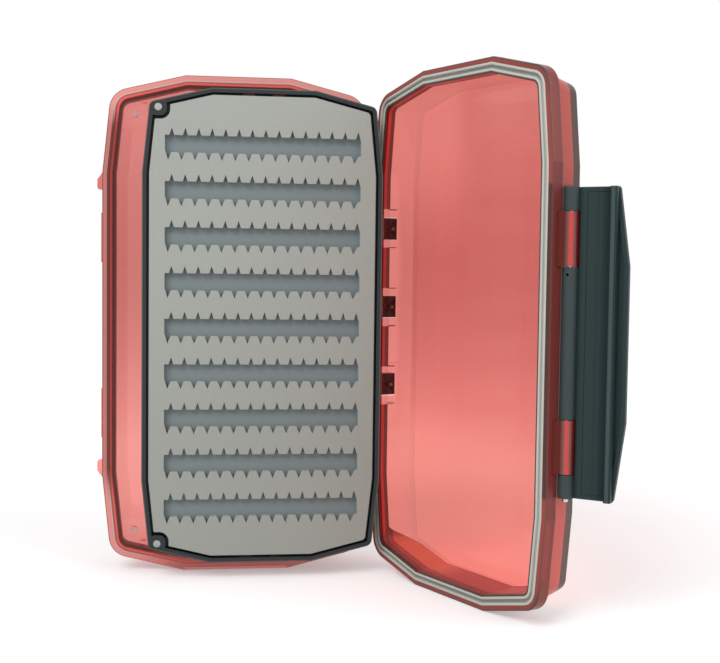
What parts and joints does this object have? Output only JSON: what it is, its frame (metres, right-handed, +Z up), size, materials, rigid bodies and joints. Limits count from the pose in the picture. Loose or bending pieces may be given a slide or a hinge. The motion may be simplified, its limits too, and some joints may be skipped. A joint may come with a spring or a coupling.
{
  "type": "fly box",
  "caption": "Waterproof fly box with translucent red halves, a sealed rim, a swing leaf of notched foam slots and a long edge latch, standing open.",
  "frame": {"origin": "middle of the base flange's lower end face, on the surface that the box stands on", "axes": "+Z up along the box's length, +X across the box towards the hinge, +Y from the opening into the base"},
  "size_m": [0.1884, 0.1364, 0.206],
  "materials": {
    "red_shell": "clear red polycarbonate, polished",
    "seal_rubber": "satin grey silicone",
    "latch_plastic": "fine moulded texture",
    "leaf_plastic": "smooth satin",
    "foam": "closed-cell foam, matte",
    "foam_backing": "closed-cell foam, matte",
    "magnet_metal": "nickel plated, dull",
    "steel": "turned stainless steel"
  },
  "bodies": {
    "base": {"base_shell": "red_shell", "base_magnet_top": "magnet_metal", "base_magnet_bottom": "magnet_metal", "hinge_pin_1": "steel", "hinge_pin_2": "steel", "hinge_pin_3": "steel", "arm_base_pin_top": "steel", "arm_base_pin_bottom": "steel"},
    "lid": {"lid_shell": "red_shell", "lid_gasket": "seal_rubber", "hinge_block_1": "latch_plastic", "hinge_block_2": "latch_plastic", "hinge_block_3": "latch_plastic", "hinge_rivet_1": "steel", "hinge_rivet_2": "steel", "hinge_rivet_3": "steel", "latch_pin": "steel"},
    "latch": {"latch": "latch_plastic"},
    "leaf_arms": {"leaf_arm_top": "leaf_plastic", "leaf_arm_bottom": "leaf_plastic"},
    "leaf": {"leaf_frame": "leaf_plastic", "front_foam": "foam", "front_backing": "foam_backing", "back_foam": "foam", "back_backing": "foam_backing", "arm_leaf_pin_top": "steel", "arm_leaf_pin_bottom": "steel", "leaf_magnet_front_top": "magnet_metal", "leaf_magnet_back_top": "magnet_metal", "leaf_magnet_front_bottom": "magnet_metal", "leaf_magnet_back_bottom": "magnet_metal"}
  },
  "joints": [
    {"name": "lid_hinge", "type": "hinge", "parent": "base", "child": "lid", "pos_m": [0.0559, -0.00285, 0.103], "axis": [0, 0, 1], "range_deg": [-115.9, 25]},
    {"name": "latch_hinge", "type": "hinge", "parent": "lid", "child": "latch", "pos_m": [0.11273, -0.10043, 0.103], "axis": [0, 0, 1], "range_deg": [-117.5, 43.5]},
    {"name": "leaf_arm_swing", "type": "hinge", "parent": "base", "child": "leaf_arms", "pos_m": [0.0448, 0.00975, 0.103], "axis": [0, 0, 1], "range_deg": [-88.1, 19]},
    {"name": "leaf_swing", "type": "hinge", "parent": "leaf_arms", "child": "leaf", "pos_m": [0.04132, -0.00421, 0.103], "axis": [0, 0, 1], "range_deg": [-19, 88.1]}
  ],
  "couplings": [
    {"joint": "leaf_arm_swing", "follows": "lid_hinge", "ratio": 0.75928},
    {"joint": "leaf_swing", "follows": "lid_hinge", "ratio": -0.75928}
  ]
}
